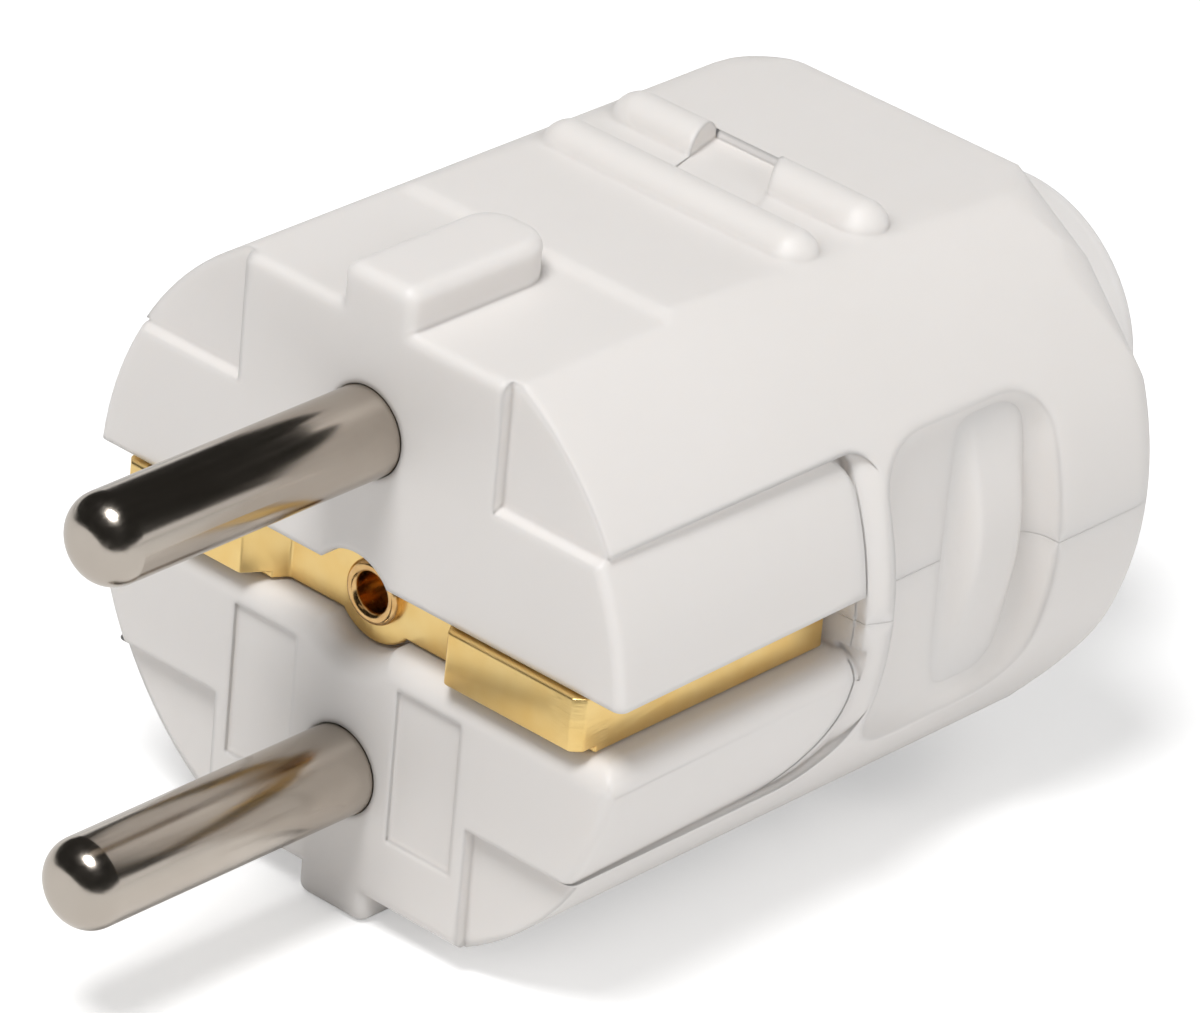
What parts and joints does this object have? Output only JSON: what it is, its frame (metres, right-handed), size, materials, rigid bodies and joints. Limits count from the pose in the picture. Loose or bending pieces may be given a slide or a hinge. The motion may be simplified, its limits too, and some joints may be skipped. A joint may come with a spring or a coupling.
{
  "type": "type f plug",
  "caption": "Rewireable earthed mains plug with round pins, side earth contacts, guide ribs and finger scoops on a two-part housing with a straight cable outlet.",
  "frame": {"origin": "centre of the engagement face, midway between the pins", "axes": "-Y is the way the pins point, +Y the cable outlet, +Z from the lower to the upper pin, +X to the right seen with the pins towards the viewer"},
  "size_m": [0.0362, 0.0694, 0.0355],
  "materials": {
    "shell": "glossy warm white moulding",
    "sleeve": "glossy white moulding",
    "pin": "nickel plate, drawn along the pin",
    "strip": "bright rolled sheet",
    "eyelet": "rolled and slightly dull",
    "terminal": "machined",
    "carrier": "light grey moulding",
    "clamp": "off-white moulding",
    "screw": "zinc plated"
  },
  "bodies": {
    "root": {"upper_shell": "shell", "lower_shell": "shell", "upper_pin": "pin", "lower_pin": "pin", "earth_strip": "strip", "earth_eyelet": "eyelet", "earth_terminal": "terminal", "terminal_carrier": "carrier", "upper_terminal_screw": "screw", "lower_terminal_screw": "screw", "earth_terminal_screw": "screw", "clamp_bar": "clamp", "clamp_screws": "screw", "housing_screws": "screw", "housing_nuts": "screw", "cable_sleeve": "sleeve"}
  },
  "joints": []
}
